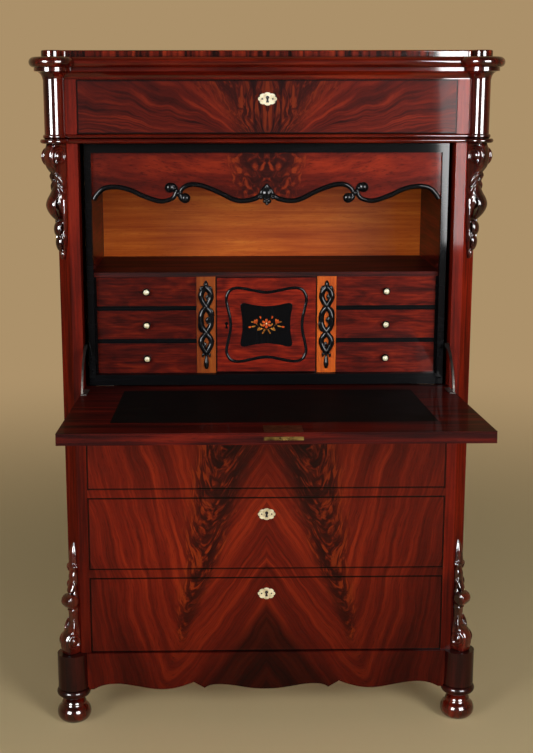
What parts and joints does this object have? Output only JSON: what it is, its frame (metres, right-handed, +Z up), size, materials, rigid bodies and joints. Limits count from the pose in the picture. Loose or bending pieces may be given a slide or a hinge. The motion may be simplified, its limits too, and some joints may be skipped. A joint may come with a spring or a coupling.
{
  "type": "fall-front secretary",
  "caption": "Tall fall-front writing cabinet with long drawers, a fitted interior with small drawers and a cupboard, corner columns and a shaped plinth.",
  "frame": {"origin": "on the floor, under the middle of the box that holds the secretary with its fall open", "axes": "+Z up, +Y to the back of the case, +X to the viewer's right; the fall opens towards -Y"},
  "size_m": [0.996, 0.9178, 1.506],
  "materials": {
    "mahogany": "red-brown mahogany, french polished",
    "crotch_mahogany": "book-matched crotch mahogany veneer, french polished",
    "pale_mahogany": "lighter orange-brown mahogany, polished",
    "ebonised": "black stained wood, polished",
    "carcase_wood": "plain softwood and oak, waxed",
    "leather": "black skiver, smooth",
    "brass": "aged brass",
    "iron": "dark wrought iron"
  },
  "bodies": {
    "case": {"case_side_left": "mahogany", "case_side_right": "mahogany", "stile_left": "mahogany", "stile_right": "mahogany", "plateau": "mahogany", "cornice_front": "mahogany", "cornice_returns": "mahogany", "column_left": "mahogany", "column_right": "mahogany", "upper_consoles": "mahogany", "lower_consoles": "mahogany", "plinth_front": "mahogany", "plinth_sides": "mahogany", "plinth_blocks": "mahogany", "front_feet": "mahogany", "frieze_rail": "mahogany", "apron": "mahogany", "lower_dust_board": "mahogany", "middle_dust_board": "mahogany", "upper_dust_board": "mahogany", "fitment_back": "pale_mahogany", "pilasters": "pale_mahogany", "fitment_frame": "ebonised", "fitment_shelf": "ebonised", "fitment_case": "ebonised", "nest_partitions": "ebonised", "apron_bead": "ebonised", "vine_carvings": "ebonised", "back_panel": "carcase_wood", "bottom_board": "carcase_wood", "case_top": "carcase_wood", "guides_and_bearers": "carcase_wood", "rear_feet": "carcase_wood", "stay_stops": "iron"},
    "fall": {"fall_board": "crotch_mahogany", "fall_leather": "leather", "fall_lock": "brass", "fall_stays": "iron", "fall_pins": "brass"},
    "door": {"cupboard_door": "mahogany", "door_moulding": "ebonised", "door_ironwork": "brass"},
    "small_lower_left": {"small_drawer_lower_left": "mahogany"},
    "small_middle_left": {"small_drawer_middle_left": "mahogany"},
    "small_upper_left": {"small_drawer_upper_left": "mahogany"},
    "small_lower_right": {"small_drawer_lower_right": "mahogany"},
    "small_middle_right": {"small_drawer_middle_right": "mahogany"},
    "small_upper_right": {"small_drawer_upper_right": "mahogany"},
    "frieze_drawer": {"frieze_drawer_front": "crotch_mahogany", "frieze_drawer_box": "carcase_wood", "frieze_drawer_lock": "brass"},
    "upper_drawer": {"upper_drawer_front": "crotch_mahogany", "upper_drawer_box": "carcase_wood", "upper_drawer_lock": "brass"},
    "middle_drawer": {"middle_drawer_front": "crotch_mahogany", "middle_drawer_box": "carcase_wood", "middle_drawer_lock": "brass"},
    "lower_drawer": {"lower_drawer_front": "crotch_mahogany", "lower_drawer_box": "carcase_wood", "lower_drawer_lock": "brass"}
  },
  "joints": [
    {"name": "fall_hinge", "type": "hinge", "parent": "case", "child": "fall", "pos_m": [0, 0.07985, 0.775], "axis": [1, 0, 0], "range_deg": [-86.6, 0]},
    {"name": "door_hinge", "type": "hinge", "parent": "case", "child": "door", "pos_m": [0.106, 0.11685, 0.918], "axis": [0, 0, 1], "range_deg": [0, 95]},
    {"name": "frieze_drawer_slide", "type": "slide", "parent": "case", "child": "frieze_drawer", "axis": [0, -1, 0], "range_m": [0, 0.28]},
    {"name": "upper_drawer_slide", "type": "slide", "parent": "case", "child": "upper_drawer", "axis": [0, -1, 0], "range_m": [0, 0.28]},
    {"name": "middle_drawer_slide", "type": "slide", "parent": "case", "child": "middle_drawer", "axis": [0, -1, 0], "range_m": [0, 0.28]},
    {"name": "lower_drawer_slide", "type": "slide", "parent": "case", "child": "lower_drawer", "axis": [0, -1, 0], "range_m": [0, 0.28]},
    {"name": "small_lower_left_slide", "type": "slide", "parent": "case", "child": "small_lower_left", "axis": [0, -1, 0], "range_m": [0, 0.23]},
    {"name": "small_middle_left_slide", "type": "slide", "parent": "case", "child": "small_middle_left", "axis": [0, -1, 0], "range_m": [0, 0.23]},
    {"name": "small_upper_left_slide", "type": "slide", "parent": "case", "child": "small_upper_left", "axis": [0, -1, 0], "range_m": [0, 0.23]},
    {"name": "small_lower_right_slide", "type": "slide", "parent": "case", "child": "small_lower_right", "axis": [0, -1, 0], "range_m": [0, 0.23]},
    {"name": "small_middle_right_slide", "type": "slide", "parent": "case", "child": "small_middle_right", "axis": [0, -1, 0], "range_m": [0, 0.23]},
    {"name": "small_upper_right_slide", "type": "slide", "parent": "case", "child": "small_upper_right", "axis": [0, -1, 0], "range_m": [0, 0.23]}
  ]
}
